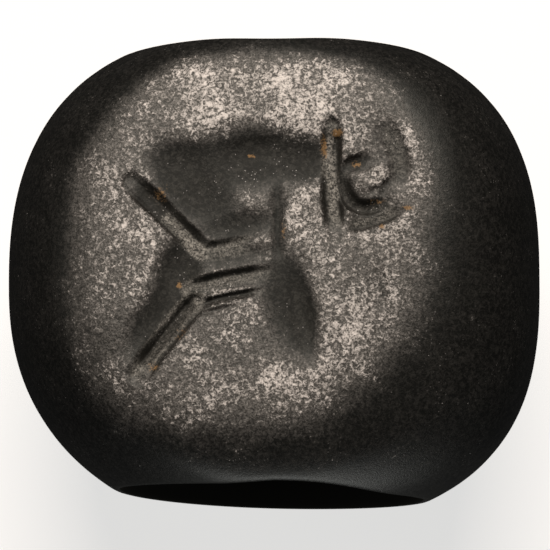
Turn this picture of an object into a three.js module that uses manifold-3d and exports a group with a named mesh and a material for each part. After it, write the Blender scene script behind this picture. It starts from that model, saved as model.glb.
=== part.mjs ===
// A stamp seal of black stone: a rounded bead, bored from end to end for a cord, with one side
// ground flat and engraved with a horned animal. Millimetres, +Z up. The seal lies on its back with
// the engraved face up: +X runs across the face, +Y along the bore, and the origin is the middle
// of the small worn spot on the back that it rests on.

import * as THREE from 'three';
import { mergeVertices } from 'three/addons/utils/BufferGeometryUtils.js';
import Module from 'manifold-3d';

const wasm = await Module();
wasm.setup();

// Bore, drilled from both ends and worn wide at its mouths
const THROAT_DIAMETER = 7.6;
const FLARE = 1.95;                 // how far the wall draws back from the throat to a mouth
const FLARE_POWER = 3;              // how late it does so
const LIP = 0.32;                   // rounding of the rim at each mouth

// Stone around the bore
const SIDE_WALL = 4.2;              // beside a mouth, to the bead's widest place
const FACE_WALL = 1.2;              // above a mouth, to the level of the sealing face
const CLOSED_LENGTH = 18.45;        // along the bore, if the rounded ends met over it
const REST_SPOT = 3.6;              // width of the worn spot on the back
const FULLNESS = 2.53;              // 2 would be an ellipse from the side, more is squarer
const FULLER_TO_RIGHT = 0.15;       // the bead was ground by eye, so its corners differ a little
const FULLER_TO_TOP = 0.16;
const FULLER_ACROSS = 0.1;          // at the upper left and lower right corners

// Wear on the edge of the face
const FACE_EDGE_ROUNDING = 0.07;    // as a share of the distance from the middle of the stone
const WORN_CORNER_ROUNDING = 0.1;   // likewise
const WORN_CORNER_BEARING = -50;    // degrees from +X, seen from above the face
const WORN_CORNER_SLOPE = 24;       // degrees down from the face
const WORN_CORNER_REACH = 6;        // from the middle of the face to where the slope starts

// Engraving, cut with a small wheel and a round drill
const FIGURE_LENGTH = 10;           // the animal from its feet to its outer horn
const LIMB_WIDTH = 0.86;
const LIMB_DEPTH = 0.5;
const THIGH_WIDTH = 0.76;
const THIGH_DEPTH = 0.42;
const HORN_WIDTH = 0.78;
const HORN_DEPTH = 0.45;
const MUZZLE_WIDTH = 0.66;
const MUZZLE_DEPTH = 0.32;
const JAW_WIDTH = 0.46;
const JAW_DEPTH = 0.4;
const LINE_WIDTH = 0.34;
const LINE_DEPTH = 0.24;
const FAINT_DEPTH = 0.12;
const HOLLOW_DEPTH = 0.55;
const HOLLOW_EDGE = 1.5;            // 1 is a plain dish, more softens its rim
const WALL_STEEPNESS = 4;           // 2 is a round trough, more has steeper walls
const RUN_OUT_ANGLES = [25, 50, 72];

// The animal, in shares of its length from the middle of the face. First come the drilled hollows
// of the trunk, flank, belly, rump, neck, knees and cheek, each as deep as its share of the deepest.
const hollows = [
  { centre: [-0.1, 0.375], length: 0.46, width: 0.27, bearing: 8, depth: 1 },
  { centre: [-0.22, 0.26], length: 0.5, width: 0.25, bearing: -42, depth: 0.8 },
  { centre: [-0.04, 0.18], length: 0.42, width: 0.24, bearing: 88, depth: 0.5 },
  { centre: [0.085, -0.24], length: 0.44, width: 0.2, bearing: 101, depth: 0.9 },
  { centre: [0.12, 0.35], length: 0.28, width: 0.2, bearing: 0, depth: 0.6 },
  { centre: [-0.375, -0.07], length: 0.34, width: 0.16, bearing: 75, depth: 0.6 },
  { centre: [0.36, 0.28], length: 0.36, width: 0.3, bearing: 35, depth: 0.5 },
];

// Then the strokes of the wheel: shins and thighs, horn and muzzle, and the fine lines
const strokes = [
  { path: [[-0.545, 0.295], [-0.258, 0.018]], width: LIMB_WIDTH, depth: LIMB_DEPTH },
  { path: [[-0.265, 0.004], [-0.122, 0.031], [0.06, 0.042]], width: THIGH_WIDTH, depth: THIGH_DEPTH },
  { path: [[-0.32, -0.13], [-0.122, -0.09], [0.04, -0.06]], width: THIGH_WIDTH, depth: THIGH_DEPTH },
  { path: [[-0.28, -0.145], [-0.393, -0.287], [-0.51, -0.457]], width: LIMB_WIDTH, depth: LIMB_DEPTH },
  { path: [[0.212, 0.515], [0.215, 0.03]], width: HORN_WIDTH, depth: HORN_DEPTH },
  { path: [[0.246, 0.11], [0.349, 0.134], [0.495, 0.206]], width: MUZZLE_WIDTH, depth: MUZZLE_DEPTH },
  {
    path: [[0.251, 0.265], [0.277, 0.185], [0.327, 0.163], [0.447, 0.197]],
    width: JAW_WIDTH,
    depth: JAW_DEPTH,
  },
  { path: [[0.256, 0.33], [0.39, 0.38]], width: LINE_WIDTH, depth: LINE_DEPTH },
  { path: [[0.045, 0.33], [0.048, 0.01]], width: LINE_WIDTH, depth: LINE_DEPTH },
  { path: [[-0.26, -0.204], [-0.117, -0.177]], width: LINE_WIDTH, depth: FAINT_DEPTH },
  {
    path: [[0.36, 0.528], [0.444, 0.436], [0.473, 0.355], [0.487, 0.25]],
    width: JAW_WIDTH,
    depth: FAINT_DEPTH,
  },
  { path: [[0.367, -0.04], [0.37, -0.237]], width: JAW_WIDTH, depth: FAINT_DEPTH },
];

// Fineness of the faceted surface
const FACE_SECTOR = 104;            // degrees about the bore that the face takes up
const FACE_SIDES = 44;
const FLANK_SIDES = 15;             // from the face's sector to the rest spot, on either side
const REST_SIDES = 3;
const REST_REACH = 0.8;             // share of the rest spot's width that its facets take up
const OUTER_RINGS = 34;
const BORE_RINGS = 6;
const LIP_STEPS = 3;
const SECTION_STEPS = 6;
const PATH_STEPS = 6;

const throatRadius = THROAT_DIAMETER / 2;
const mouthRadius = throatRadius + FLARE;
const halfWidth = mouthRadius + SIDE_WALL;
const faceHeight = mouthRadius + FACE_WALL;
const boreHeight = Math.sqrt(halfWidth ** 2 - (REST_SPOT / 2) ** 2);
const faceZ = boreHeight + faceHeight;

// The larger of two values, with a rounded passage where they are nearly alike
function softMax(a, b, rounding) {
  const larger = Math.max(a, b);
  const blend = rounding * larger;
  const closeness = Math.max(blend - Math.abs(a - b), 0);
  return larger + closeness ** 2 / (4 * blend);
}

// Direction from the middle of the stone, turned about the bore and tilted towards its end
function directionAt(turn, tilt) {
  return new THREE.Vector3(Math.sin(turn) * Math.cos(tilt), Math.sin(tilt), Math.cos(turn) * Math.cos(tilt));
}

const wornSlope = THREE.MathUtils.degToRad(WORN_CORNER_SLOPE);
const wornBearing = THREE.MathUtils.degToRad(WORN_CORNER_BEARING);
const wornNormal = new THREE.Vector3(
  Math.sin(wornSlope) * Math.cos(wornBearing),
  Math.sin(wornSlope) * Math.sin(wornBearing),
  Math.cos(wornSlope),
);
const wornDistance = WORN_CORNER_REACH * Math.sin(wornSlope) + faceHeight * Math.cos(wornSlope);

// Distance from the middle to the stone's outer surface along a unit direction
function reachAlong(direction) {
  const around = Math.hypot(direction.x, direction.z) / halfWidth;
  const along = Math.abs(direction.y) / (CLOSED_LENGTH / 2);
  const leaning = FULLER_TO_RIGHT * direction.x + FULLER_TO_TOP * direction.y;
  const fullness = FULLNESS + leaning - FULLER_ACROSS * direction.x * direction.y;
  const bead = (around ** fullness + along ** fullness) ** (1 / fullness);
  const corner = Math.max(direction.dot(wornNormal), 0) / wornDistance;
  const shoulder = softMax(bead, corner, WORN_CORNER_ROUNDING);
  const face = Math.max(direction.z, 0) / faceHeight;
  const upper = softMax(shoulder, face, FACE_EDGE_ROUNDING);
  const rest = Math.max(-direction.z, 0) / boreHeight;
  return 1 / Math.max(upper, rest);
}

// Tilt at which the outer surface comes in to a given radius, found by halving
function tiltAtRadius(turn, radius, end) {
  let wide = 0;
  let narrow = Math.PI / 2;
  for (let step = 0; step < 40; step += 1) {
    const middle = (wide + narrow) / 2;
    const reach = reachAlong(directionAt(turn, end * middle));
    if (reach * Math.cos(middle) > radius) wide = middle;
    else narrow = middle;
  }
  return (end * (wide + narrow)) / 2;
}

// How far the drilled hollows go below the sealing face at a place on it
function hollowDepthAt(x, y) {
  const depths = hollows.map(({ centre, length, width, bearing, depth }) => {
    const place = new THREE.Vector2(x, y).sub(onFace(centre));
    place.rotateAround(new THREE.Vector2(), THREE.MathUtils.degToRad(-bearing));
    const ahead = place.x / ((length * FIGURE_LENGTH) / 2);
    const beside = place.y / ((width * FIGURE_LENGTH) / 2);
    return depth * HOLLOW_DEPTH * Math.max(1 - ahead ** 2 - beside ** 2, 0) ** HOLLOW_EDGE;
  });
  return Math.hypot(...depths);
}

// Place on the sealing face, given as shares of the figure's length
function onFace([across, along]) {
  return new THREE.Vector2(across * FIGURE_LENGTH, along * FIGURE_LENGTH);
}

// Point of the outer surface, with the drilled hollows in the face
function outerPoint(turn, tilt) {
  const direction = directionAt(turn, tilt);
  const point = direction.clone().multiplyScalar(reachAlong(direction));
  if (direction.z > 0) point.z -= hollowDepthAt(point.x, point.y);
  point.z += boreHeight;
  return point;
}

// Point of the bore's wall, a share of the way from the middle to one rim
function borePoint(turn, share, rimPlace) {
  const radius = throatRadius + (mouthRadius - throatRadius) * share ** FLARE_POWER;
  return new THREE.Vector3(radius * Math.sin(turn), share * rimPlace, radius * Math.cos(turn) + boreHeight);
}

// One closed profile of the stone: out over its surface, round a lip, back through the bore and
// round the other lip
function profileAt(turn) {
  const [top, bottom] = [1, -1].map((end) => {
    const shoulderTilt = tiltAtRadius(turn, mouthRadius + LIP, end);
    const rim = outerPoint(turn, tiltAtRadius(turn, mouthRadius, end));
    const innerShare = 1 - LIP / Math.abs(rim.y);
    const wall = borePoint(turn, innerShare, rim.y);
    const lip = new THREE.QuadraticBezierCurve3(outerPoint(turn, shoulderTilt), rim, wall);
    return { shoulderTilt, innerShare, rimPlace: rim.y, lip: lip.getPoints(LIP_STEPS).slice(1, -1) };
  });
  const outside = [];
  for (let ring = 0; ring <= OUTER_RINGS; ring += 1) {
    const tilt = THREE.MathUtils.lerp(top.shoulderTilt, bottom.shoulderTilt, ring / OUTER_RINGS);
    outside.push(outerPoint(turn, tilt));
  }
  const inside = [];
  for (let ring = 0; ring <= BORE_RINGS; ring += 1) {
    const share = THREE.MathUtils.lerp(-bottom.innerShare, top.innerShare, ring / BORE_RINGS);
    inside.push(borePoint(turn, Math.abs(share), share < 0 ? bottom.rimPlace : top.rimPlace));
  }
  return [...outside, ...bottom.lip, ...inside, ...top.lip.reverse()];
}

// Turns about the bore at which the profile is laid: close together over the face, wider apart
// down each flank, and a few across the rest spot so that its middle is one flat patch
function profileTurns() {
  const faceHalf = THREE.MathUtils.degToRad(FACE_SECTOR) / 2;
  const restHalf = REST_REACH * Math.asin(REST_SPOT / 2 / halfWidth);
  const stretches = [
    { from: -faceHalf, to: faceHalf, sides: FACE_SIDES },
    { from: faceHalf, to: Math.PI - restHalf, sides: FLANK_SIDES },
    { from: Math.PI - restHalf, to: Math.PI + restHalf, sides: REST_SIDES },
    { from: Math.PI + restHalf, to: 2 * Math.PI - faceHalf, sides: FLANK_SIDES },
  ];
  const turns = [];
  for (const { from, to, sides } of stretches) {
    for (let side = 0; side < sides; side += 1) turns.push(THREE.MathUtils.lerp(from, to, side / sides));
  }
  return turns;
}

// Indexed geometry from rings of points, each closed on itself and all of one length. The last
// ring joins the first where the form closes, and otherwise each end is covered by a flat cap.
function skinRings(rings, closes) {
  const sides = rings[0].length;
  const positions = rings.flat().flatMap((point) => point.toArray());
  const indices = [];
  const spans = closes ? rings.length : rings.length - 1;
  for (let ring = 0; ring < spans; ring += 1) {
    const next = (ring + 1) % rings.length;
    for (let side = 0; side < sides; side += 1) {
      const beside = (side + 1) % sides;
      const near = [ring * sides + side, ring * sides + beside];
      const far = [next * sides + side, next * sides + beside];
      indices.push(near[0], near[1], far[1], near[0], far[1], far[0]);
    }
  }
  if (!closes) {
    const last = (rings.length - 1) * sides;
    for (let side = 1; side < sides - 1; side += 1) {
      indices.push(0, side + 1, side);
      indices.push(last, last + side, last + side + 1);
    }
  }
  const geometry = new THREE.BufferGeometry();
  geometry.setAttribute('position', new THREE.Float32BufferAttribute(positions, 3));
  geometry.setIndex(indices);
  return geometry;
}

function solidFrom(geometry) {
  const merged = mergeVertices(geometry);
  return new wasm.Manifold(new wasm.Mesh({
    numProp: 3,
    vertProperties: new Float32Array(merged.attributes.position.array),
    triVerts: new Uint32Array(merged.index.array),
  }));
}

function geometryFrom(solid) {
  const mesh = solid.getMesh();
  const geometry = new THREE.BufferGeometry();
  geometry.setAttribute('position', new THREE.BufferAttribute(mesh.vertProperties, 3));
  geometry.setIndex(new THREE.BufferAttribute(mesh.triVerts, 1));
  geometry.computeVertexNormals();
  return geometry;
}

// A wheel drawn along a path: steep walls, a rounded floor and ends that run out like a boat's
function strokeCutter({ path, width, depth }) {
  const places = path.map(onFace);
  const straight = places.length === 2;
  const curve = straight ? new THREE.LineCurve(...places) : new THREE.SplineCurve(places);
  const length = curve.getLength();
  const runOut = Math.min(width, length / 3) / length;
  const bow = RUN_OUT_ANGLES.map((degrees) => {
    const angle = THREE.MathUtils.degToRad(degrees);
    return { share: runOut * (1 - Math.cos(angle)), size: Math.sin(angle) };
  });
  const stern = bow.map(({ share, size }) => ({ share: 1 - share, size })).reverse();
  const steps = straight ? 1 : PATH_STEPS;
  const middle = [];
  for (let step = 0; step <= steps; step += 1) {
    middle.push({ share: THREE.MathUtils.lerp(runOut, 1 - runOut, step / steps), size: 1 });
  }
  const rings = [...bow, ...middle, ...stern].map(({ share, size }) => {
    const place = curve.getPointAt(share);
    const heading = curve.getTangentAt(share);
    const cornerAt = (side, below) => new THREE.Vector3(
      place.x - (heading.y * side * size * width) / 2,
      place.y + (heading.x * side * size * width) / 2,
      faceZ - below,
    );
    const ring = [];
    for (let step = 0; step <= SECTION_STEPS; step += 1) {
      const side = Math.sin((step / SECTION_STEPS - 0.5) * Math.PI);
      ring.push(cornerAt(side, size * depth * (1 - Math.abs(side) ** WALL_STEEPNESS)));
    }
    ring.push(cornerAt(1, -depth), cornerAt(-1, -depth));
    return ring;
  });
  return solidFrom(skinRings(rings, false));
}

function makeSealStone() {
  let stone = solidFrom(skinRings(profileTurns().map(profileAt), true));
  for (const stroke of strokes) stone = stone.subtract(strokeCutter(stroke));
  const blackStone = new THREE.MeshStandardMaterial({ color: 0x2a2826, roughness: 0.55, metalness: 0.1 });
  const mesh = new THREE.Mesh(geometryFrom(stone), blackStone);
  mesh.name = 'seal_stone';
  return mesh;
}

const group = new THREE.Group();
group.add(makeSealStone());

export default group;
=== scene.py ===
# The looks of a black stone stamp seal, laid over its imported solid. Places on the stone are in
# millimetres, with +Z out of the sealing face and +Y along the bore, and become metres in the mesh.

import math

import bpy
import numpy as np
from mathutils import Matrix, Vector


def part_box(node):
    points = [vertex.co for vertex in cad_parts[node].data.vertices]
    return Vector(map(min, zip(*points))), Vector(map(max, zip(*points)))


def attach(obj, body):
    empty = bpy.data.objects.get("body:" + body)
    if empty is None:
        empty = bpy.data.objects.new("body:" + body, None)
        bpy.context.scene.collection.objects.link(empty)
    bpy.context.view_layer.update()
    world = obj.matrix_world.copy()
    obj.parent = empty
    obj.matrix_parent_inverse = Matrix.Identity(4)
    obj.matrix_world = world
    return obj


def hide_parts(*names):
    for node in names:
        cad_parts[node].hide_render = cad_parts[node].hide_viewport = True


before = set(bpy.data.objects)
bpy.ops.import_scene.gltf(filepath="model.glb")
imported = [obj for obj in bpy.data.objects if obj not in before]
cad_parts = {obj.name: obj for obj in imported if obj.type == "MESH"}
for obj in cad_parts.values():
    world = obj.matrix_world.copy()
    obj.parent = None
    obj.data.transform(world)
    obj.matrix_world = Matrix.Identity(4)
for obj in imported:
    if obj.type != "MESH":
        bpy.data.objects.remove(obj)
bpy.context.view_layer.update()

# Seal stone: one bead of hard black iron-ore stone, ground round by eye, bored from both ends for
# a cord, and ground flat on one side. A small wheel and a round drill cut a horned animal into the
# flat. Its surface follows the same rule as the solid, with far more points and the finer cuts.

MM = 0.001
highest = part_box("seal_stone")[1]
HALF_WIDTH = highest.x / MM
FACE_Z = highest.z / MM
REST_SPOT = 3.6
CLOSED_LENGTH = 18.45               # along the bore, if the rounded ends met over it
THROAT_RADIUS = 3.8
MOUTH_RADIUS = 5.75
NEAR_MOUTH_LESS_TOWARDS_FACE = 0.4  # the near mouth isn't worn quite round
NEAR_MOUTH_LESS_TO_RIGHT = 0.4
FLARE_POWER = 3                     # how late the wall draws back towards a mouth
LIP = 0.32                          # rounding of the rim at each mouth
FULLNESS = 2.53                     # 2 would be an ellipse from the side, more is squarer
FULLER_TO_RIGHT = 0.15              # the bead was ground by eye, so its corners differ a little
FULLER_TO_TOP = 0.16
FULLER_ACROSS = 0.1
FACE_EDGE_ROUNDING = 0.22           # as a share of the distance from the middle of the stone
WORN_CORNER_ROUNDING = 0.25         # likewise
WORN_CORNER_BEARING = math.radians(-50)
WORN_CORNER_SLOPE = math.radians(24)
WORN_CORNER_REACH = 6
HALVINGS = 40                       # tries that find where a place lies on the bead

BORE_HEIGHT = math.sqrt(HALF_WIDTH ** 2 - (REST_SPOT / 2) ** 2)
FACE_HEIGHT = FACE_Z - BORE_HEIGHT
worn_slope_sine = math.sin(WORN_CORNER_SLOPE)
worn_slope_cosine = math.cos(WORN_CORNER_SLOPE)
worn_normal = (
    worn_slope_sine * math.cos(WORN_CORNER_BEARING),
    worn_slope_sine * math.sin(WORN_CORNER_BEARING),
    worn_slope_cosine,
)
WORN_DISTANCE = WORN_CORNER_REACH * worn_slope_sine + FACE_HEIGHT * worn_slope_cosine


def soft_max(one, other, rounding):
    """The larger of two, with a rounded passage where they are nearly alike."""
    larger = np.maximum(one, other)
    blend = rounding * larger
    closeness = np.maximum(blend - np.abs(one - other), 0)
    return larger + closeness ** 2 / (4 * blend)


def bead_point(turn, tilt):
    """Point of the bead before it is engraved, turned about the bore and tilted towards its end."""
    x = np.sin(turn) * np.cos(tilt)
    y = np.sin(tilt)
    z = np.cos(turn) * np.cos(tilt)
    fullness = FULLNESS + FULLER_TO_RIGHT * x + FULLER_TO_TOP * y - FULLER_ACROSS * x * y
    around = np.hypot(x, z) / HALF_WIDTH
    along = np.abs(y) / (CLOSED_LENGTH / 2)
    bead = (around ** fullness + along ** fullness) ** (1 / fullness)
    leaning = x * worn_normal[0] + y * worn_normal[1] + z * worn_normal[2]
    shoulder = soft_max(bead, np.maximum(leaning, 0) / WORN_DISTANCE, WORN_CORNER_ROUNDING)
    upper = soft_max(shoulder, np.maximum(z, 0) / FACE_HEIGHT, FACE_EDGE_ROUNDING)
    reach = 1 / np.maximum(upper, np.maximum(-z, 0) / BORE_HEIGHT)
    return np.stack([x * reach, y * reach, z * reach + BORE_HEIGHT], axis=-1)


def tilt_until(turn, end, still_short):
    """Tilt towards one end at which the bead's surface is no longer short of a place, by halving."""
    near = np.zeros(np.broadcast(turn, end).shape)
    far = np.full(near.shape, math.pi / 2)
    for halving in range(HALVINGS):
        middle = (near + far) / 2
        short = still_short(bead_point(turn, end * middle))
        near = np.where(short, middle, near)
        far = np.where(short, far, middle)
    return end * (near + far) / 2


def from_bore(point):
    """Distance of a point from the middle line of the bore."""
    return np.hypot(point[..., 0], point[..., 2] - BORE_HEIGHT)


# The mesh is fine where the face is engraved, and coarser beside that and round the back.
FINE = 0.05
COARSE = 0.12
ENGRAVED_LEFT, ENGRAVED_RIGHT = -5.8, 5.3
ENGRAVED_BOTTOM, ENGRAVED_TOP = -5.0, 5.6
FACE_SIDE = 7.2
FACE_COSINE = 0.6                   # of the turn about the bore beyond which nothing is cut
BACK_STEP = math.radians(4.5)
END_ROWS = 22
LIP_ROWS = 6
BORE_ROWS = 20

places_across = np.concatenate([
    np.arange(-FACE_SIDE, ENGRAVED_LEFT, COARSE),
    np.arange(ENGRAVED_LEFT, ENGRAVED_RIGHT, FINE),
    np.arange(ENGRAVED_RIGHT, FACE_SIDE, COARSE),
])
face_turns = np.arctan(places_across / FACE_HEIGHT)
back_end = face_turns[0] + 2 * math.pi
back_turns = np.arange(face_turns[-1] + BACK_STEP, back_end - BACK_STEP / 2, BACK_STEP)
turns = np.concatenate([face_turns, back_turns])[:, None]
rows_along = np.arange(ENGRAVED_TOP, ENGRAVED_BOTTOM, -FINE)[None, :]
row_end = np.where(rows_along < 0, -1.0, 1.0)
fine_tilts = tilt_until(turns, row_end, lambda point: point[..., 1] * row_end < np.abs(rows_along))
mouth_radius = {
    1.0: np.full(turns.shape, MOUTH_RADIUS),
    -1.0: MOUTH_RADIUS
    - NEAR_MOUTH_LESS_TOWARDS_FACE * np.maximum(np.cos(turns), 0)
    - NEAR_MOUTH_LESS_TO_RIGHT * np.maximum(np.sin(turns), 0) * (1 + np.cos(turns)) / 2,
}
shoulder_tilts = {}
rim_tilts = {}
for end in (1.0, -1.0):
    rim_radius = mouth_radius[end]
    shoulder_tilts[end] = tilt_until(turns, end, lambda point: from_bore(point) > rim_radius + LIP)
    rim_tilts[end] = tilt_until(turns, end, lambda point: from_bore(point) > rim_radius)
end_shares = np.arange(END_ROWS)[None, :] / END_ROWS
top_tilts = shoulder_tilts[1.0] + (fine_tilts[:, :1] - shoulder_tilts[1.0]) * end_shares
bottom_tilts = shoulder_tilts[-1.0] + (fine_tilts[:, -1:] - shoulder_tilts[-1.0]) * end_shares
outer_tilts = np.concatenate([top_tilts, fine_tilts, bottom_tilts[:, ::-1]], axis=1)
outside = bead_point(turns, outer_tilts)


# Engraving. Every depth is below the sealing face, and a path's places are across and along it.
# The wheel left fine marks along its cuts: waves across them, in radians for each millimetre, each
# with its start and with how far it follows the wheel's drift from side to side.
MARK_WAVES = [(47, 0.0, 1), (74, 1.3, -1), (29, 4.0, 0)]
MARK_DRIFT = 0.02                   # how far the wheel drifted to either side
DRIFT_WAVE = 2.3                    # radians for each millimetre along the cut
TOUCHING = 1e-6                     # too near a path to tell its sides apart


def smooth_path(places, step=0.12):
    """Points close together on a smooth curve through the given places."""
    before_first = 2 * np.array(places[0]) - places[1]
    after_last = 2 * np.array(places[-1]) - places[-2]
    knots = np.array([before_first, *places, after_last], float)
    points = []
    for before, start, stop, after in zip(knots, knots[1:], knots[2:], knots[3:]):
        count = max(2, int(np.linalg.norm(stop - start) / step))
        share = (np.arange(count) / count)[:, None]
        points.append(0.5 * (
            2 * start
            + (stop - before) * share
            + (2 * before - 5 * start + 4 * stop - after) * share ** 2
            + (3 * start - before - 3 * stop + after) * share ** 3
        ))
    return np.concatenate([*points, knots[-2][None, :]])


def beside_path(across, along, places):
    """Distance to a path, side (-1 right to 1 left), length walked and length left at each place."""
    path = smooth_path(places)
    nearest = np.full(across.shape, np.inf)
    side = np.zeros(across.shape)
    walked = np.zeros(across.shape)
    before = 0.0
    for start, stop in zip(path, path[1:]):
        leg = stop - start
        length = math.hypot(*leg)
        ahead = leg / length
        along_leg = (across - start[0]) * ahead[0] + (along - start[1]) * ahead[1]
        to_left = (along - start[1]) * ahead[0] - (across - start[0]) * ahead[1]
        beyond = along_leg - np.clip(along_leg, 0, length)
        distance = np.hypot(beyond, to_left)
        closer = distance < nearest
        nearest = np.where(closer, distance, nearest)
        side = np.where(closer, to_left / np.maximum(distance, TOUCHING), side)
        walked = np.where(closer, before + np.clip(along_leg, 0, length), walked)
        before += length
    return nearest, side, walked, before - walked


def eased(share):
    """0 below 0, 1 above 1, and a smooth passage between."""
    share = np.clip(share, 0, 1)
    return share * share * (3 - 2 * share)


def wheel_cut(across, along, path, width, depth, section, run=(0.5, 0.5), ends=(0.5, 0.5), marks=0.0):
    """A wheel drawn along a path. The section pairs a place from the right edge (-1) to the left (1)
    with a share of the depth, and each end starts at a share of it and deepens over its run."""
    distance, side, walked, left = beside_path(across, along, path)
    out = distance / (width / 2)
    edges, shares = zip(*section)
    on_left = np.interp(out, edges, shares, right=0)
    on_right = np.interp(-out, edges, shares, left=0)
    cut = on_right + (on_left - on_right) * (1 + side) / 2
    cut *= ends[0] + (1 - ends[0]) * eased(walked / run[0])
    cut *= ends[1] + (1 - ends[1]) * eased(left / run[1])
    if marks:
        offset = distance * side
        drift = MARK_DRIFT * np.sin(walked * DRIFT_WAVE)
        waves = sum(np.sin((offset + drift * shift) * wave + start) for wave, start, shift in MARK_WAVES)
        cut *= 1 + marks * waves / len(MARK_WAVES)
    return depth * np.maximum(cut, 0)


def drilled_hollow(across, along, centre, length, width, bearing, depth, edge=1.5):
    """A soft dish left by a round drill. A higher edge softens its rim."""
    bearing = math.radians(bearing)
    ahead = (across - centre[0]) * math.cos(bearing) + (along - centre[1]) * math.sin(bearing)
    beside = (along - centre[1]) * math.cos(bearing) - (across - centre[0]) * math.sin(bearing)
    inside = 1 - (ahead / (length / 2)) ** 2 - (beside / (width / 2)) ** 2
    return depth * np.maximum(inside, 0) ** edge


# Sections of the cuts as seen along the path, from the right edge (-1) to the left (1), each place
# with its share of the depth
ROUND_WHEEL = [(-1, 0), (-0.75, 0.6), (-0.4, 0.92), (0, 1), (0.4, 0.92), (0.75, 0.6), (1, 0)]
UPPER_SHIN_WHEEL = [(-1, 0), (-0.78, 0.66), (-0.4, 0.62), (0, 0.76), (0.3, 1), (0.7, 0.6), (1, 0)]
LOWER_SHIN_WHEEL = [(-1, 0), (-0.8, 0.5), (-0.62, 0.4), (-0.3, 0.6), (0.0, 0.8), (0.3, 1), (1, 0)]
THIGH_WHEEL = [(-1, 0), (-0.85, 0.35), (-0.3, 0.6), (0.2, 0.85), (0.5, 1), (1, 0)]
LEFT_WALLED_WHEEL = [(-1, 0), (-0.4, 0.45), (0.4, 1), (1, 0)]
HORN_WHEEL = [(-1, 0), (-0.55, 0.8), (-0.2, 0.85), (0.2, 0.9), (0.5, 1), (1, 0)]
JAW_WHEEL = [(-1, 0), (-0.75, 0.85), (-0.3, 1), (0.3, 0.8), (1, 0)]
MUZZLE_WHEEL = [(-1, 0), (-0.7, 1), (-0.2, 0.85), (0.4, 0.6), (1, 0)]
BELLY_WHEEL = [(-1, 0), (-0.2, 0.2), (0.1, 0.7), (0.35, 1), (1, 0)]
FAINT_WHEEL = [(-1, 0), (0, 0.5), (0.75, 1), (1, 0)]

# Dishes left by the drill: middle, length, width, bearing in degrees, depth and softness of the rim
HOLLOWS = [
    # trunk, flank, the trunk's upper left, the dips above and between the thighs, and the belly
    ((-0.9, 3.55), 6.8, 3.4, 4, 0.38, 2.0),
    ((-2.9, 2.55), 5.4, 3.1, -44, 0.38, 1.5),
    ((-3.2, 3.5), 3.7, 2.0, 8, 0.22, 1.6),
    ((-1.3, 1.05), 4.2, 1.6, 10, 0.27, 1.6),
    ((-1.5, -0.1), 4.6, 1.2, 12, 0.2, 1.6),
    ((-0.5, 2.3), 3.2, 3.0, 0, 0.08, 1.4),
    # rump, with its steeper right side, and the neck's saddle
    ((0.5, -1.7), 6.4, 2.8, 104, 0.3, 2.0),
    ((1.0, -2.1), 5.0, 1.5, 100, 0.34, 1.9),
    ((1.1, 3.5), 3.2, 2.6, 0, 0.36, 1.7),
    # the dip between the knees, and its tail along the lower shin
    ((-3.4, -0.4), 3.4, 2.2, 65, 0.42, 1.8),
    ((-4.05, -2.1), 5.6, 2.2, 56, 0.36, 1.9),
    # cheek, and the dip along the outer horn
    ((3.4, 2.5), 3.8, 3.1, 25, 0.13, 1.5),
    ((4.1, 3.9), 3.8, 2.0, -70, 0.13, 1.5),
]

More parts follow.
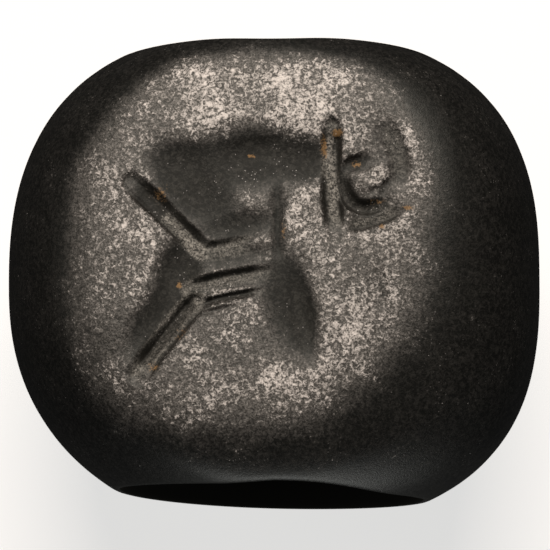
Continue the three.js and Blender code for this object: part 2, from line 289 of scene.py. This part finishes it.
# Cuts of the wheel, each after how far its floor is rubbed pale, from 0 to 1
CUTS = [
    # upper shin in two passes, and the upper thigh
    (0.0, dict(
        path=[(-5.12, 2.66), (-4.22, 1.83), (-3.5, 1.1)],
        width=0.92, depth=0.48, section=UPPER_SHIN_WHEEL, run=(0.9, 0.8), ends=(0.4, 0.3), marks=0.07,
    )),
    (0.7, dict(
        path=[(-4.4, 2.0), (-3.4, 1.0), (-2.62, 0.22)],
        width=0.88, depth=0.44, section=UPPER_SHIN_WHEEL, run=(0.8, 0.6), ends=(0.3, 0.7), marks=0.09,
    )),
    (0.4, dict(
        path=[(-2.5, 0.12), (-1.78, 0.24), (-1.05, 0.4), (-0.3, 0.5)],
        width=0.84, depth=0.34, section=THIGH_WHEEL, run=(0.3, 1.2), ends=(0.8, 0.0), marks=0.06,
    )),
    # lower thigh, its second pass and its last light one
    (0.42, dict(
        path=[
            (-3.05, -1.22), (-2.6, -1.13), (-1.96, -0.97), (-1.3, -0.84), (-0.6, -0.74), (0.3, -0.66),
        ],
        width=0.84, depth=0.36, section=THIGH_WHEEL, run=(0.2, 1.4), ends=(0.8, 0.1), marks=0.08,
    )),
    (0.7, dict(
        path=[
            (-2.78, -1.93), (-2.43, -1.76), (-1.96, -1.61), (-1.41, -1.5), (-0.69, -1.36),
            (-0.1, -1.25),
        ],
        width=0.4, depth=0.3, section=LEFT_WALLED_WHEEL, run=(0.2, 1.0), ends=(0.8, 0.1),
    )),
    (0.5, dict(
        path=[(-2.7, -2.17), (-2.32, -2.07), (-1.78, -1.94), (-1.16, -1.77)],
        width=0.22, depth=0.16, section=LEFT_WALLED_WHEEL, run=(0.2, 0.6), ends=(0.7, 0.0),
    )),
    # lower shin, with a last narrow pass along its right edge
    (1.0, dict(
        path=[
            (-4.9, -4.26), (-4.66, -3.91), (-4.19, -3.29), (-3.69, -2.64), (-3.22, -2.05),
            (-2.86, -1.65),
        ],
        width=0.98, depth=0.56, section=LOWER_SHIN_WHEEL, run=(0.8, 0.3), ends=(0.4, 0.8), marks=0.18,
    )),
    (0.2, dict(
        path=[(-4.55, -4.4), (-4.0, -3.62), (-3.45, -2.95), (-2.9, -2.3)],
        width=0.24, depth=0.34, section=LEFT_WALLED_WHEEL, run=(0.6, 0.4), ends=(0.3, 0.5),
    )),
    # horn, with pits where the tool dug in
    (0.68, dict(
        path=[(2.1, 4.72), (2.08, 3.48), (2.12, 2.01), (2.28, 0.75)],
        width=0.84, depth=0.4, section=HORN_WHEEL, run=(0.5, 1.0), ends=(0.5, 0.2), marks=0.04,
    )),
    (0.0, dict(
        path=[(2.28, 4.3), (2.2, 4.0)],
        width=0.3, depth=0.46, section=ROUND_WHEEL, ends=(1, 1),
    )),
    (0.0, dict(
        path=[(2.06, 2.46), (2.16, 2.52)],
        width=0.16, depth=0.42, section=ROUND_WHEEL, ends=(1, 1),
    )),
    # head: the jaw's curved cut, the brow's groove, the muzzle's lower edge, the streak down the
    # cheek and the thin line under the brow
    (0.15, dict(
        path=[
            (2.55, 2.95), (2.62, 2.35), (2.84, 1.98), (3.2, 1.8), (3.6, 1.82), (4.0, 1.97), (4.4, 2.1),
            (4.75, 2.2),
        ],
        width=0.66, depth=0.46, section=JAW_WHEEL, run=(0.5, 1.6), ends=(0.5, 0.0),
    )),
    (0.0, dict(
        path=[(2.65, 3.26), (3.05, 3.42), (3.41, 3.58), (3.95, 3.85)],
        width=0.6, depth=0.26, section=ROUND_WHEEL, run=(0.3, 1.2), ends=(0.9, 0.0),
    )),
    (0.6, dict(
        path=[(2.5, 1.2), (3.29, 1.36), (4.02, 1.62), (4.8, 2.04)],
        width=0.9, depth=0.26, section=MUZZLE_WHEEL, run=(0.5, 0.8), ends=(0.3, 0.1),
    )),
    (0.0, dict(
        path=[(4.24, 3.1), (4.1, 2.63), (3.92, 2.1)],
        width=0.4, depth=0.14, section=ROUND_WHEEL, run=(0.4, 0.3), ends=(0.1, 0.8),
    )),
    (0.0, dict(
        path=[(2.75, 2.98), (3.4, 3.16), (4.0, 3.5)],
        width=0.3, depth=0.12, section=ROUND_WHEEL, run=(0.4, 0.4), ends=(0.1, 0.1),
    )),
    # the outer horn, hardly more than rubbed in
    (0.3, dict(
        path=[(3.6, 5.3), (3.95, 4.8), (4.35, 4.2), (4.55, 3.5), (4.6, 2.7), (4.75, 2.1)],
        width=0.9, depth=0.22, section=ROUND_WHEEL, run=(1.2, 1.2), ends=(0.0, 0.0),
    )),
    # the trunk's deepest line
    (0.0, dict(
        path=[(-2.6, 3.5), (-1.78, 3.68), (-0.44, 3.9), (0.6, 3.95)],
        width=1.1, depth=0.26, section=ROUND_WHEEL, run=(1.6, 0.8), ends=(0.0, 0.2),
    )),
    # the line down the belly's right edge
    (0.0, dict(
        path=[(0.0, 3.5), (-0.08, 2.4), (-0.06, 1.4), (-0.08, 0.5), (0.1, -0.4)],
        width=1.2, depth=0.23, section=BELLY_WHEEL, run=(1.6, 0.8), ends=(0.0, 0.4),
    )),
    # a faint worn dip in front of the rump, with a sharper right edge
    (0.4, dict(
        path=[(3.62, -0.2), (3.72, -1.2), (3.7, -2.3)],
        width=0.8, depth=0.1, section=FAINT_WHEEL, run=(0.7, 0.7), ends=(0.0, 0.0),
    )),
]

# The ridge that the tool left between brow and jaw
RIDGE = dict(
    path=[(2.85, 2.62), (3.42, 2.78), (3.9, 3.06), (4.25, 3.34)],
    width=0.8, depth=0.24, section=ROUND_WHEEL, run=(0.7, 0.8), ends=(0.2, 0.1), marks=0.25,
)
FULLY_RUBBED_FROM = 0.2             # a shallower cut's floor is rubbed less


def engraved_depth(across, along):
    """Depth of the horned animal below the sealing face, and how far each cut's floor is rubbed."""
    hollows = [drilled_hollow(across, along, *hollow) for hollow in HOLLOWS]
    hollow = np.sqrt(sum(depth ** 2 for depth in hollows))
    depths = [wheel_cut(across, along, **cut) for rub, cut in CUTS]
    wheel = np.max(depths, axis=0)
    rubs = np.array([rub for rub, cut in CUTS])
    rubbed = rubs[np.argmax(depths, axis=0)] * eased(wheel / FULLY_RUBBED_FROM)
    return np.maximum(np.hypot(hollow, wheel) - wheel_cut(across, along, **RIDGE), 0), rubbed


on_face = np.broadcast_to(np.cos(turns) > FACE_COSINE, outside.shape[:2])
face_points = outside[on_face]
cut_depth = np.zeros(outside.shape[:2])
rubbed = np.zeros(outside.shape[:2])
cut_depth[on_face], rubbed[on_face] = engraved_depth(face_points[:, 0], face_points[:, 1])


def softened(values):
    """Each value on the stone's grid, evened out a little with the values beside it."""
    values = (values * 2 + np.roll(values, 1, axis=0) + np.roll(values, -1, axis=0)) / 4
    values[:, 1:-1] = (values[:, 1:-1] * 2 + values[:, :-2] + values[:, 2:]) / 4
    return values


# Handling has rounded every edge of the cuts a little
cut_depth = softened(cut_depth)
outside[..., 2] -= cut_depth

# Lips and bore: the wall draws back from the throat to each worn mouth, and a small curve joins it
# to the outside.
lip_shares = (np.arange(1, LIP_ROWS + 1) / (LIP_ROWS + 1))[None, :, None]


def bore_wall(share, rim_y):
    """Points on the bore's wall, from one rim (share -1) through the throat (0) to the other (1)."""
    mouth = np.where(share < 0, mouth_radius[-1.0], mouth_radius[1.0])
    radius = THROAT_RADIUS + (mouth - THROAT_RADIUS) * np.abs(share) ** FLARE_POWER
    y = np.abs(share) * rim_y
    x = radius * np.sin(turns)
    z = radius * np.cos(turns) + BORE_HEIGHT
    return np.stack(np.broadcast_arrays(x, y, z), axis=-1)


lips = {}
inner_share = {}
rim_y = {}
for end in (1.0, -1.0):
    shoulder = bead_point(turns, shoulder_tilts[end])
    rim = bead_point(turns, rim_tilts[end])
    rim_y[end] = rim[..., 1]
    inner_share[end] = 1 - LIP / np.abs(rim_y[end])
    wall = bore_wall(inner_share[end] * end, rim_y[end])
    lips[end] = (
        shoulder * (1 - lip_shares) ** 2
        + 2 * rim * lip_shares * (1 - lip_shares)
        + wall * lip_shares ** 2
    )
bore_shares = (np.arange(BORE_ROWS + 1) / BORE_ROWS)[None, :]
bore_places = -inner_share[-1.0] + (inner_share[1.0] + inner_share[-1.0]) * bore_shares
bore = bore_wall(bore_places, np.where(bore_places < 0, rim_y[-1.0], rim_y[1.0]))
profiles = np.concatenate([outside, lips[-1.0], bore, lips[1.0][:, ::-1]], axis=1)

count_turns, count_rows = profiles.shape[:2]
grid = np.arange(count_turns * count_rows).reshape(count_turns, count_rows)
next_turn = np.roll(grid, -1, axis=0)
next_row = np.roll(grid, -1, axis=1)
next_both = np.roll(next_turn, -1, axis=1)
quads = np.stack([grid, next_row, next_both, next_turn], axis=-1).reshape(-1, 4)

stone_mesh = bpy.data.meshes.new("seal_stone_ground")
stone_mesh.from_pydata((profiles.reshape(-1, 3) * MM).tolist(), [], quads.tolist())
stone_mesh.shade_smooth()


def add_share(name, shares):
    """Stores one number from 0 to 1 for each point of the stone, for its finish to read."""
    padded = np.zeros(profiles.shape[:2])
    padded[:, :shares.shape[1]] = shares
    stone_mesh.attributes.new(name, "FLOAT", "POINT").data.foreach_set("value", padded.ravel())


# Reddish earth left in the cuts: place, reach across and along, and strength
STAINS = [
    ((2.3, 4.52), 0.22, 0.17, 1.0),
    ((1.82, 4.0), 0.14, 0.46, 0.85),
    ((3.0, 3.35), 0.16, 0.12, 0.8),
    ((3.9, 1.05), 0.14, 0.14, 0.7),
    ((4.85, 1.75), 0.24, 0.13, 0.8),
    ((-0.84, 3.7), 0.16, 0.08, 0.9),
    ((-3.44, -1.05), 0.12, 0.14, 0.8),
    ((-4.1, 2.3), 0.4, 0.4, 0.4),
    ((-4.35, -4.1), 0.26, 0.3, 0.5),
    ((-3.35, -2.85), 0.3, 0.36, 0.4),
    ((0.35, 0.9), 0.14, 0.5, 0.45),
    ((3.7, 2.0), 0.4, 0.14, 0.5),
]
stain = np.zeros(outside.shape[:2])
for (stain_x, stain_y), reach_across, reach_along, strength in STAINS:
    across = (outside[..., 0] - stain_x) / reach_across
    along = (outside[..., 1] - stain_y) / reach_along
    stain = np.maximum(stain, np.where(on_face, strength * np.exp(-np.hypot(across, along) ** 2), 0))

# The face is worn pale within a rounded outline, and its broad fading edge is painted shade where the
# face rounds away from the light. The share is a little less or more in a few places, partly wear and
# partly painted shade, darker mostly to the left, each given by its place, its reach and the change
WORN_MIDDLE = (-1.05, 0.7)
WORN_HALF_WIDTH, WORN_HALF_HEIGHT = 6.6, 6.95
WORN_FULLNESS, WORN_FULLER_ACROSS = 2.6, 1.1
MOST_FULLER_ACROSS = 0.6
WEAR_AND_SHADE_FADES = (0.74, 1.22)
SHARPER_AT_TOP = 0.15
WEAR_AND_SHADE_CHANGES = [
    ((-5.8, 5.2), 2.2, -0.3),
    ((-6.2, 0.6), 2.6, -0.25),
    ((-5.8, -3.2), 2.4, -0.4),
    ((2.2, 0.0), 1.6, -0.14),
    ((3.2, 4.4), 1.0, -0.22),
    ((-1.4, -3.0), 1.8, -0.32),
    ((3.6, -1.0), 0.9, -0.2),
    ((5.4, 3.2), 1.4, 0.7),
]
from_middle_x = (outside[..., 0] - WORN_MIDDLE[0]) / WORN_HALF_WIDTH
from_middle_y = (outside[..., 1] - WORN_MIDDLE[1]) / WORN_HALF_HEIGHT
fuller_corner = np.clip(from_middle_x * from_middle_y, -MOST_FULLER_ACROSS, MOST_FULLER_ACROSS)
worn_fullness = WORN_FULLNESS + WORN_FULLER_ACROSS * fuller_corner
from_middle = (
    np.abs(from_middle_x) ** worn_fullness + np.abs(from_middle_y) ** worn_fullness
) ** (1 / worn_fullness)
sharper = SHARPER_AT_TOP * eased(from_middle_y)
faded = (from_middle - WEAR_AND_SHADE_FADES[0] - sharper) / (WEAR_AND_SHADE_FADES[1] - WEAR_AND_SHADE_FADES[0] - 2 * sharper)
wear_and_shade_open = np.where(on_face, 1 - eased(faded), 0)
for (change_x, change_y), reach, change in WEAR_AND_SHADE_CHANGES:
    apart = np.hypot(outside[..., 0] - change_x, outside[..., 1] - change_y) / reach
    wear_and_shade_open *= 1 + change * np.exp(-apart ** 2)
wear_and_shade_open = np.minimum(wear_and_shade_open, 1)

# In a cut the wear fades with depth. Dirt lies thickest on steep walls and thins out to both sides of
# them, and some lies on deep floors, unless they are rubbed. The same share also paints the shade
# that falls along the walls and on the deep floors.
CUT_WORN, CUT_SATIN = -0.06, 0.32
RECESS_DEPTH = 0.35
STEEP_FROM, STEEP_TO = 0.35, 1.35
DIRT_AND_SHADE_SPREAD = 5
DIRT_AND_SHADE_THICKER = 1.35
DIRT_AND_SHADE_DEPTH = 0.3
DEEP_DIRT_AND_SHADE = 0.6
worn_uncut = 1 - eased((cut_depth - CUT_WORN) / (CUT_SATIN - CUT_WORN))
slope_across = (np.roll(cut_depth, 1, axis=0) - np.roll(cut_depth, -1, axis=0)) / (2 * FINE)
slope_along = (np.roll(cut_depth, 1, axis=1) - np.roll(cut_depth, -1, axis=1)) / (2 * FINE)
steep = eased((np.hypot(slope_across, slope_along) - STEEP_FROM) / (STEEP_TO - STEEP_FROM))
for spread in range(DIRT_AND_SHADE_SPREAD):
    steep = softened(steep)
steep = np.minimum(steep * DIRT_AND_SHADE_THICKER, 1)
deep_dirt_and_shade = DEEP_DIRT_AND_SHADE * eased((cut_depth - DIRT_AND_SHADE_DEPTH) / DIRT_AND_SHADE_DEPTH)
add_share("wear_and_shade", wear_and_shade_open * worn_uncut)
add_share("recess", eased(cut_depth / RECESS_DEPTH))
add_share("dirt_and_shade", np.maximum(steep, deep_dirt_and_shade) * (1 - rubbed * (1 - steep)))
add_share("rubbed_floor", rubbed * (1 - steep) ** 2)
add_share("stain", stain)
in_bore = np.zeros(profiles.shape[:2])
in_bore[:, outside.shape[1] + LIP_ROWS // 2:-(LIP_ROWS // 2)] = 1
add_share("in_bore", in_bore)

ground_stone = bpy.data.objects.new("ground_stone", stone_mesh)
bpy.context.scene.collection.objects.link(ground_stone)


class Wire:
    """A number that runs through a node tree. Arithmetic on it adds the nodes that work it out."""

    def __init__(self, nodes, socket):
        self.nodes = nodes
        self.socket = socket

    def worked(self, operation, first, second):
        sockets = {0: first, 1: second}
        return self.nodes.node("ShaderNodeMath", {"operation": operation}, sockets)["Value"]

    def __add__(self, other):
        return self.worked("ADD", self, other)

    def __radd__(self, other):
        return self.worked("ADD", other, self)

    def __sub__(self, other):
        return self.worked("SUBTRACT", self, other)

    def __rsub__(self, other):
        return self.worked("SUBTRACT", other, self)

    def __mul__(self, other):
        return self.worked("MULTIPLY", self, other)

    def __rmul__(self, other):
        return self.worked("MULTIPLY", other, self)


class Nodes:
    """Adds nodes to one tree, and gives each node's outputs by name."""

    def __init__(self, tree):
        self.tree = tree

    def node(self, kind, settings=None, inputs=None):
        """Adds a node of one kind, gives it its settings, then its sockets' values or wires."""
        made = self.tree.nodes.new(kind)
        for name, value in (settings or {}).items():
            setattr(made, name, value)
        for key, value in (inputs or {}).items():
            named = [socket for socket in made.inputs if socket.enabled and socket.name == key]
            socket = made.inputs[key] if isinstance(key, int) else named[0]
            if isinstance(value, Wire):
                self.tree.links.new(value.socket, socket)
            else:
                socket.default_value = value
        return {socket.name: Wire(self, socket) for socket in made.outputs if socket.enabled}

    def eased(self, value, low, high):
        """0 below the low value, 1 above the high one, and a smooth passage between."""
        ends = {"Value": value, "From Min": low, "From Max": high, "To Min": 0.0, "To Max": 1.0}
        return self.node("ShaderNodeMapRange", {"interpolation_type": "SMOOTHSTEP"}, ends)["Result"]

    def blend(self, share, start, stop):
        """A colour that goes from one to another as the share goes from 0 to 1."""
        sockets = {"Factor": share, "A": start, "B": stop}
        return self.node("ShaderNodeMix", {"data_type": "RGBA"}, sockets)["Result"]


def stone_finish():
    """Near-black granular stone: dark where handled, mottled warm grey where worn, earth in cuts, with
    painted shade and glints.
    """
    handled_dark = (0.004, 0.004, 0.0037, 1)
    handled_light = (0.024, 0.0235, 0.022, 1)
    recess_dark = (0.0075, 0.007, 0.0062, 1)
    recess_light = (0.035, 0.034, 0.031, 1)
    floor_light = (0.52, 0.505, 0.46, 1)
    worn_dark = (0.045, 0.043, 0.04, 1)
    worn_mid = (0.2, 0.192, 0.182, 1)
    # the palest worn grains, partly painted glints of crystal facets
    worn_pale_and_glint = (0.72, 0.69, 0.665, 1)
    # dark of dirt on the cuts' walls, which also paints the shade there
    wall_dirt_and_shade = (0.009, 0.0075, 0.0055, 1)
    reddish_earth = (0.24, 0.14, 0.055, 1)
    # dull black of the bore, which paints the shade inside it
    bore_shade_black = (0.02, 0.02, 0.018, 1)
    # pale of dust specks, and of painted glints
    dust_and_glint = (0.8, 0.79, 0.78, 1)
    patches_per_mm = 0.8
    grain_per_mm = 6.2
    fine_grain_per_mm = 15
    # painted glints of crystals catching the light
    painted_glints_per_mm = 6.5
    specks_per_mm = 3.1
    grain_height = 0.05
    stone_ior = 1.42
    stone_sheen = (0.93, 1.0, 0.97, 1)

    material = bpy.data.materials.new("worn_black_stone")
    material.use_nodes = True
    material.node_tree.nodes.clear()
    nodes = Nodes(material.node_tree)
    place = nodes.node("ShaderNodeTexCoord")["Object"]

    def share_of(name):
        return nodes.node("ShaderNodeAttribute", {"attribute_name": name})["Fac"]

    def mottle(per_mm, detail=2.0, roughness=0.5, distortion=0.0):
        return nodes.node("ShaderNodeTexNoise", None, {
            "Vector": place,
            "Scale": per_mm / MM,
            "Detail": detail,
            "Roughness": roughness,
            "Distortion": distortion,
        })["Fac"]

    def scattered(per_mm, size):
        """1 in small round spots, one for each cell of a scatter."""
        look = {"Vector": place, "Scale": per_mm / MM}
        from_middle = nodes.node("ShaderNodeTexVoronoi", None, look)["Distance"]
        return 1 - nodes.eased(from_middle, size * 0.6, size)

    wear_and_shade = share_of("wear_and_shade")
    recess = share_of("recess")
    stain = share_of("stain")
    patches = mottle(patches_per_mm, detail=3.0)
    grain = mottle(grain_per_mm, detail=3.0, roughness=0.62, distortion=0.7)
    fine_grain = mottle(fine_grain_per_mm, detail=2.0, roughness=0.6)
    texture = grain * 0.7 + fine_grain * 0.3
    # the wear share also carries the painted shade of the face's fading edge
    wear_and_shade_here = nodes.eased(wear_and_shade + (patches - 0.5) * 0.3 + (grain - 0.5) * 0.3, 0.05, 1.0)

    # handled sides, and the recesses with their rubbed floors
    handled_texture = nodes.eased(texture * 0.85 + patches * 0.15, 0.4, 0.68)
    handled = nodes.blend(handled_texture, handled_dark, handled_light)
    recessed = nodes.blend(nodes.eased(texture, 0.42, 0.66), recess_dark, recess_light)
    floor_texture = nodes.eased(grain * 0.45 + fine_grain * 0.55, 0.36, 0.7)
    cut = nodes.blend(floor_texture * share_of("rubbed_floor"), recessed, floor_light)
    unworn = nodes.blend(recess, handled, cut)

    # the worn ground, with its palest grains, whose pale is partly painted glint of crystal facets
    worn_texture = nodes.eased(fine_grain * 0.55 + grain * 0.45, 0.38, 0.62)
    worn_ground = nodes.blend(worn_texture, worn_dark, worn_mid)
    pale = nodes.eased(texture + (wear_and_shade - 1) * 0.27 + (patches - 0.5) * 0.4, 0.42, 0.66)
    ground = nodes.blend(pale, nodes.blend(wear_and_shade_here, unworn, worn_ground), worn_pale_and_glint)

    # dirt with the painted shade of the cuts' walls, earth in the cuts, then painted glints of crystals,
    # and dust
    dirt_and_shade_share = share_of("dirt_and_shade") * nodes.eased(fine_grain, 0.8, 0.42) * 0.95
    walled = nodes.blend(dirt_and_shade_share, ground, wall_dirt_and_shade)
    earthy = nodes.eased(stain * 1.4 + (grain - 0.5) * 2.4 + (fine_grain - 0.5) * 1.6, 0.45, 1.1)
    stained = nodes.blend(earthy * nodes.eased(stain, 0.0, 0.35) * 0.85, walled, reddish_earth)
    # painted glints: small pale spots that stand in for crystals catching the light, most in the
    # recesses
    painted_glint_places = nodes.eased(patches * 0.7 + fine_grain * 0.3, 0.49, 0.6)
    painted_glint = scattered(painted_glints_per_mm, 0.18) * painted_glint_places * (0.1 + recess * 0.25)
    speck_places = nodes.eased(fine_grain, 0.5, 0.6) * nodes.eased(patches, 0.45, 0.65)
    speck = scattered(specks_per_mm, 0.1) * speck_places * 0.5
    dusted_and_glinting = nodes.blend(speck + painted_glint, stained, dust_and_glint)

    roughness = 0.46 + wear_and_shade_here * 0.14 + recess * 0.3 + (fine_grain - 0.5) * 0.2
    rough_here = 0.5 + wear_and_shade_here * 0.5 + recess * 0.35
    bump = nodes.node("ShaderNodeBump", None, {
        "Height": (grain * wear_and_shade_here + fine_grain * 0.5) * rough_here,
        "Strength": 0.8,
        "Distance": grain_height * MM,
    })["Normal"]
    shader = nodes.node("ShaderNodeBsdfPrincipled", None, {
        "Base Color": dusted_and_glinting,
        "Roughness": roughness,
        "IOR": stone_ior,
        "Specular Tint": stone_sheen,
        "Normal": bump,
    })["BSDF"]
    # the bore takes a dull black that does not reflect: painted shade where the bore lies in shadow
    painted_bore_shade_look = {"Color": bore_shade_black, "Roughness": 1.0}
    painted_bore_shade = nodes.node("ShaderNodeBsdfDiffuse", None, painted_bore_shade_look)["BSDF"]
    sides = {0: share_of("in_bore"), 1: shader, 2: painted_bore_shade}
    mixed = nodes.node("ShaderNodeMixShader", None, sides)["Shader"]
    nodes.node("ShaderNodeOutputMaterial", None, {"Surface": mixed})
    return material


# Sizes that the geometry nodes take as their inputs: the worn face's grain and its small pits
SURFACE_WEAR = {"Grain per mm": 4.0, "Grain depth": 0.02, "Pits per mm": 1.6, "Pit depth": 0.03}


def surface_tree(material):
    """Geometry nodes that wear the ground surface: a fine grain on the worn face, and small pits."""
    pit_floor, pit_rim = 0.08, 0.2
    tree = bpy.data.node_groups.new("stone_surface", "GeometryNodeTree")
    tree.interface.new_socket("Geometry", in_out="INPUT", socket_type="NodeSocketGeometry")
    for name in SURFACE_WEAR:
        tree.interface.new_socket(name, in_out="INPUT", socket_type="NodeSocketFloat")
    tree.interface.new_socket("Geometry", in_out="OUTPUT", socket_type="NodeSocketGeometry")
    nodes = Nodes(tree)
    given = nodes.node("NodeGroupInput")
    position = nodes.node("GeometryNodeInputPosition")["Position"]

    def scaled(vector, by):
        sockets = {0: vector, "Scale": by}
        return nodes.node("ShaderNodeVectorMath", {"operation": "SCALE"}, sockets)["Vector"]

    place = scaled(position, 1 / MM)
    wear_and_shade_attribute = {"data_type": "FLOAT"}
    wear_and_shade = nodes.node("GeometryNodeInputNamedAttribute", wear_and_shade_attribute, {"Name": "wear_and_shade"})["Attribute"]
    grain_look = {"Vector": place, "Scale": given["Grain per mm"], "Detail": 2.0}
    grain = nodes.node("ShaderNodeTexNoise", None, grain_look)["Fac"]
    pit_look = {"Vector": place, "Scale": given["Pits per mm"]}
    from_pit = nodes.node("ShaderNodeTexVoronoi", None, pit_look)["Distance"]
    pit = (1 - nodes.eased(from_pit, pit_floor, pit_rim)) * given["Pit depth"] * wear_and_shade
    depth = grain * given["Grain depth"] * wear_and_shade + pit
    inward = scaled(nodes.node("GeometryNodeInputNormal")["Normal"], depth * -MM)
    placed = {"Geometry": given["Geometry"], "Offset": inward}
    moved = nodes.node("GeometryNodeSetPosition", None, placed)["Geometry"]
    joined = nodes.node("GeometryNodeRealizeInstances", None, {"Geometry": moved})["Geometry"]
    finish = {"Geometry": joined, "Material": material}
    dressed = nodes.node("GeometryNodeSetMaterial", None, finish)["Geometry"]
    nodes.node("NodeGroupOutput", None, {"Geometry": dressed})
    return tree


wear = ground_stone.modifiers.new("surface", "NODES")
wear.node_group = surface_tree(stone_finish())
for item in wear.node_group.interface.items_tree:
    if item.name in SURFACE_WEAR:
        wear[item.identifier] = SURFACE_WEAR[item.name]

evaluated_stone = ground_stone.evaluated_get(bpy.context.evaluated_depsgraph_get())
finished_mesh = bpy.data.meshes.new_from_object(evaluated_stone)
finished_mesh.name = "seal_stone_finished"
bpy.data.objects.remove(ground_stone)
seal_stone = bpy.data.objects.new("engraved_stone", finished_mesh)
bpy.context.scene.collection.objects.link(seal_stone)
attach(seal_stone, "root")
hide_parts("seal_stone")

# Studio: a pale sweep that rises far behind the stone. It is seen but gives no light back, so the
# stone's black sides stay as deep as they are on an open table.
SWEEP_FLAT = 0.45
SWEEP_BEND = 0.15
SWEEP_RISE = 0.5
SWEEP_SIDES = 64
BEND_STEPS = 8

sweep_profile = [(0.0, 0.0), (SWEEP_FLAT, 0.0)]
for step in range(1, BEND_STEPS + 1):
    bend = math.radians(90) * step / BEND_STEPS
    out = SWEEP_FLAT + SWEEP_BEND * math.sin(bend)
    sweep_profile.append((out, SWEEP_BEND * (1 - math.cos(bend))))
sweep_profile.append((SWEEP_FLAT + SWEEP_BEND, SWEEP_RISE))
sweep_points = [(0.0, 0.0, 0.0)]
for radius, height in sweep_profile[1:]:
    for side in range(SWEEP_SIDES):
        turn = 2 * math.pi * side / SWEEP_SIDES
        sweep_points.append((radius * math.cos(turn), radius * math.sin(turn), height))
sweep_faces = [(0, 1 + side, 1 + (side + 1) % SWEEP_SIDES) for side in range(SWEEP_SIDES)]
for ring in range(len(sweep_profile) - 2):
    for side in range(SWEEP_SIDES):
        near = 1 + ring * SWEEP_SIDES + side
        beside = 1 + ring * SWEEP_SIDES + (side + 1) % SWEEP_SIDES
        sweep_faces.append((near, near + SWEEP_SIDES, beside + SWEEP_SIDES, beside))
sweep_mesh = bpy.data.meshes.new("sweep")
sweep_mesh.from_pydata(sweep_points, [], sweep_faces)
sweep_mesh.shade_smooth()
sweep = bpy.data.objects.new("sweep", sweep_mesh)
bpy.context.scene.collection.objects.link(sweep)

paper = bpy.data.materials.new("pale_paper")
paper.use_nodes = True
paper.node_tree.nodes.clear()
paper_nodes = Nodes(paper.node_tree)
paper_shader = paper_nodes.node("ShaderNodeBsdfPrincipled", None, {
    "Base Color": (0.35, 0.35, 0.345, 1),
    "Roughness": 0.9,
    "Emission Color": (1, 1, 0.99, 1),
    "Emission Strength": 0.7,
})["BSDF"]
paper_nodes.node("ShaderNodeOutputMaterial", None, {"Surface": paper_shader})
sweep_mesh.materials.append(paper)
sweep.visible_glossy = False
sweep.visible_diffuse = False
sweep.visible_shadow = False

# Soft lights: one wide light beyond the stone's top edge, as from a window, and two weak fills, one
# low on the near mouth's side and one from the left
stone_middle = Vector((0, 0, BORE_HEIGHT * MM))


def soft_light(name, bearing, elevation, distance, width, height, watts, colour):
    """A rectangular light that faces the stone, at a bearing from +X and an angle above the table."""
    data = bpy.data.lights.new(name, "AREA")
    data.shape = "RECTANGLE"
    data.size = width
    data.size_y = height
    data.energy = watts
    data.color = colour
    lamp = bpy.data.objects.new(name, data)
    across = math.cos(math.radians(elevation))
    bearing = math.radians(bearing)
    direction = Vector((
        across * math.cos(bearing),
        across * math.sin(bearing),
        math.sin(math.radians(elevation)),
    ))
    lamp.location = stone_middle + direction * distance
    lamp.rotation_euler = direction.to_track_quat("Z", "Y").to_euler()
    lamp.visible_camera = False
    bpy.context.scene.collection.objects.link(lamp)


WARM = (1.0, 0.88, 0.78)
NEARLY_WHITE = (1.0, 0.97, 0.94)
LIGHT_DISTANCE = 0.5
soft_light("key", 91, 56, LIGHT_DISTANCE, width=0.3, height=0.22, watts=3.3, colour=WARM)
soft_light("low_fill", -84, -14, LIGHT_DISTANCE, width=0.3, height=0.12, watts=0.9, colour=NEARLY_WHITE)
soft_light("left_fill", 175, 30, LIGHT_DISTANCE, width=0.3, height=0.3, watts=0.22, colour=WARM)

world = bpy.data.worlds.new("studio_air")
world.use_nodes = True
world.node_tree.nodes["Background"].inputs["Color"].default_value = (0.02, 0.02, 0.02, 1)
bpy.context.scene.world = world
bpy.context.scene.view_settings.view_transform = "Standard"

# Camera: almost straight above the face, with the stone's lower end turned a little towards it
CAMERA_TILT = math.radians(8)
CAMERA_DISTANCE = 198.75 * MM
FRAME_WIDTH = 20.625 * MM
AIM_RIGHT = 0.034 * MM
AIM_UP = 0.244 * MM

camera_data = bpy.data.cameras.new("camera")
camera_data.sensor_width = 36
camera_data.lens = camera_data.sensor_width * CAMERA_DISTANCE / FRAME_WIDTH
camera_data.clip_start = 0.01
camera_data.clip_end = 5
camera = bpy.data.objects.new("camera", camera_data)
camera.rotation_euler = (CAMERA_TILT, 0, 0)
image_up = Vector((0, math.cos(CAMERA_TILT), math.sin(CAMERA_TILT)))
backwards = Vector((0, -math.sin(CAMERA_TILT), math.cos(CAMERA_TILT)))
aim = stone_middle + Vector((AIM_RIGHT, 0, 0)) + image_up * AIM_UP
camera.location = aim + backwards * CAMERA_DISTANCE
bpy.context.scene.collection.objects.link(camera)
bpy.context.scene.camera = camera
